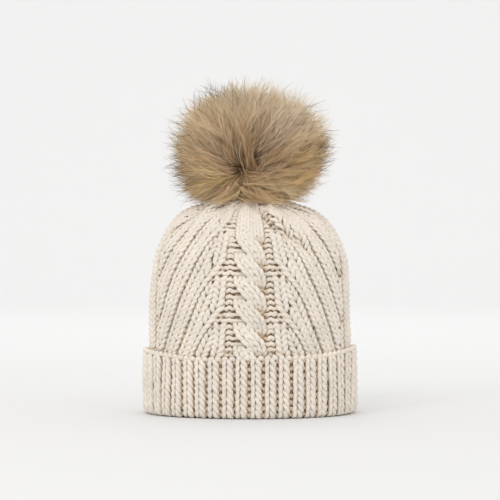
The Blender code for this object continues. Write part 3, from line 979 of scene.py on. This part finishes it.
# ------------ label, seams, felt and snap
def plain_material(name, low, high, scale, roughness, metallic=0.0, bump_depth=0.0002, stretch=(1, 1, 1)):
    """Two tones, uneven roughness and a fine bump from one procedural pattern in the part's own metres."""
    made, tree, shader = blank(name)
    plain_twin(name, [(a + b) / 2 for a, b in zip(low, high)], roughness, metallic)
    place = node(tree, "ShaderNodeTexCoord").outputs["Object"]
    mapping = node(tree, "ShaderNodeMapping", Scale=stretch, Vector=place).outputs["Vector"]
    fine = node(tree, "ShaderNodeTexNoise", Scale=scale, Vector=mapping).outputs["Fac"]
    broad = node(tree, "ShaderNodeTexNoise", Scale=scale / 9, Detail=4.0, Vector=mapping).outputs["Fac"]
    both = maths(tree, "MULTIPLY_ADD", fine, 0.55, maths(tree, "MULTIPLY", broad, 0.45))
    tones = ramp(tree, both, [(0.25, low), (0.75, high)])
    worn = map_range(tree, broad, 0.0, 1.0, max(roughness - 0.12, 0.05), min(roughness + 0.12, 1.0))
    bump = node(tree, "ShaderNodeBump", Strength=0.5, Distance=bump_depth, Height=fine)
    set_inputs(shader, Base_Color=tones, Roughness=worn, Normal=bump.outputs["Normal"], Metallic=metallic)
    return made


seam_wool = plain_material("seam_wool", (0.45, 0.36, 0.26), (0.74, 0.65, 0.53), 700, 0.9, bump_depth=0.0004)
felt = plain_material("pressed_felt", (0.50, 0.42, 0.32), (0.68, 0.60, 0.49), 1500, 0.95, bump_depth=0.0005)
brass = plain_material("antique_brass", (0.30, 0.24, 0.15), (0.62, 0.54, 0.40), 900, 0.38, 1.0, 0.00004)
steel = plain_material("drawn_steel", (0.45, 0.45, 0.46), (0.68, 0.68, 0.69), 2500, 0.28, 1.0, 0.00003)
# better materials on the CAD nodes, in their objects' own slots
for material, names in ((seam_wool, ("back_seam_yarn", "crown_gather_yarn", "pompom_gather_thread")),
                        (felt, ("crown_felt_patch", "pompom_base_disc")),
                        (brass, ("snap_stud_cap", "snap_stud", "snap_socket", "snap_socket_cap")),
                        (steel, ("snap_ring_spring",))):
    for name in names:
        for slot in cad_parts[name].material_slots:
            slot.link = "OBJECT"
            slot.material = material


def sew_label():
    """A blank woven label hanging flat inside the back of the band, and the stitches along its top."""
    box_low, box_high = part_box("care_label")
    left, right = np.array((box_low[0], box_high[1])) / MM, np.array((box_high[0], box_low[1])) / MM
    bottom, top = box_low[2] / MM, box_high[2] / MM
    along_label, normal = unit(right - left), unit(np.array((right[1] - left[1], left[0] - right[0])))
    wide, tall, thick = 22.0, top - bottom, 0.34
    middle = (left + right) / 2
    across, rows = 24, 33
    x = np.linspace(-wide / 2, wide / 2, across)[:, None]
    z = np.linspace(0, tall, rows)[None]
    curl = 0.28 * np.sin(x / 5.0) * (1 - z / tall) + 0.35 * (1 - z / tall) ** 2 * np.cos(x / 9)

    def place(x, depth, z):
        return np.stack([middle[0] + along_label[0] * x + normal[0] * depth,
                         middle[1] + along_label[1] * x + normal[1] * depth, z + 0 * x], -1).reshape(-1, 3)

    verts = [place(x, curl + off, bottom + z) for off in (0.0, thick)]
    count = across * rows
    sheet = grid_faces(across, rows, (False, False), turned=True)
    rim = [k * rows for k in range(across)] + [(across - 1) * rows + k for k in range(1, rows)]
    rim += [k * rows + rows - 1 for k in range(across - 2, -1, -1)] + list(range(rows - 2, 0, -1))
    edge = np.array([(b, a, a + count, b + count) for a, b in zip(rim, rim[1:] + rim[:1])])
    label = mesh_object("care_label_cloth", np.concatenate(verts),
                        np.concatenate([sheet, sheet[:, ::-1] + count, edge]))
    dress(label, plain_material("label_satin", (0.70, 0.68, 0.63), (0.86, 0.84, 0.80), 1900, 0.5,
                                bump_depth=0.0001, stretch=(1, 1, 4)))
    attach(label, "hat")
    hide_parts("care_label")
    threads = []
    t = np.arange(20) / 20 * TAU
    up, size = np.tile((0.0, 0.0, 1.0), (20, 1)), np.full(20, 0.2)
    for stitch in np.linspace(1.8 - wide / 2, wide / 2 - 1.8, 7):
        centre = place(stitch + 1.05 * np.cos(t), thick / 2 + 0.42 * np.sin(t), top - 1.6)
        threads.append(closed_tube(centre, up, size, size, size))
    verts, quads, uv, value = join_parts(threads)
    sewn = mesh_object("care_label_stitches", verts, quads, value, uv)
    dress(sewn, seam_wool)
    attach(sewn, "hat")


sew_label()

# ------------ camera, light and floor
scene = bpy.context.scene
LENS = 180.0
SENSOR = 36.0
FRAME_WIDTH = 0.3953    # metres across the picture at the hat
distance = FRAME_WIDTH * LENS / SENSOR
elevation = math.radians(0.6)
AIM_HEIGHT = 0.1285
camera_data = bpy.data.cameras.new("camera")
camera_data.lens = LENS
camera_data.sensor_width = SENSOR
camera = bpy.data.objects.new("camera", camera_data)
camera.location = (0, -distance * math.cos(elevation), AIM_HEIGHT + distance * math.sin(elevation))
camera.rotation_euler = (math.radians(90) - elevation, 0, 0)
camera_data.clip_end = 50
scene.collection.objects.link(camera)
scene.camera = camera


def area_light(name, place, size, energy, colour=(1, 1, 1), aim_at=(0, 0, 0.12)):
    data = bpy.data.lights.new(name, "AREA")
    data.shape = "DISK"
    data.size = size
    data.energy = energy
    data.color = colour
    made = bpy.data.objects.new(name, data)
    made.location = place
    made.rotation_euler = (Vector(aim_at) - Vector(place)).to_track_quat("-Z", "Y").to_euler()
    scene.collection.objects.link(made)


area_light("key", (-0.6, -1.1, 1.3), 0.9, 6.0, (1.0, 0.985, 0.965))
area_light("fill", (0.9, -1.1, 0.7), 1.1, 1.5)
area_light("sweep", (0.0, 1.2, 2.6), 1.6, 25.0, aim_at=(0, 3.6, 0.4))
world = bpy.data.worlds.new("studio")
world.use_nodes = True
set_inputs(world.node_tree.nodes["Background"], Color=(1.0, 0.995, 0.985, 1.0), Strength=0.92)
scene.world = world


def make_floor():
    """A pale studio sweep: flat under the hat and curved up far behind and all round it."""
    flat, bend, around = 2.6, 1.2, 96
    arc = [(flat + bend * math.sin(a), bend - bend * math.cos(a)) for a in np.linspace(0.12, math.pi / 2, 12)]
    rings = [(1.2, 0.0), (flat, 0.0), *arc, (flat + bend, 1.6)]
    verts = [(0.0, 0.0, 0.0)]
    faces = []
    for radius, z in rings:
        verts += [(radius * math.cos(TAU * k / around), radius * math.sin(TAU * k / around), z)
                  for k in range(around)]
    for k in range(around):
        faces.append((0, 1 + k, 1 + (k + 1) % around))
    for ring in range(len(rings) - 1):
        a = 1 + ring * around
        for k in range(around):
            n = (k + 1) % around
            faces.append((a + k, a + around + k, a + around + n, a + n))
    mesh = bpy.data.meshes.new("studio_floor")
    mesh.from_pydata(verts, [], faces)
    mesh.polygons.foreach_set("use_smooth", [True] * len(faces))
    floor = bpy.data.objects.new("studio_floor", mesh)
    scene.collection.objects.link(floor)
    made, _, shader = blank("studio_paper")
    set_inputs(shader, Base_Color=(0.785, 0.785, 0.787, 1), Roughness=0.9)
    mesh.materials.append(made)
    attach(floor, "cuff")         # the hat stands on the cuff's lower edge, turned up or down


make_floor()
scene.view_settings.view_transform = "Standard"
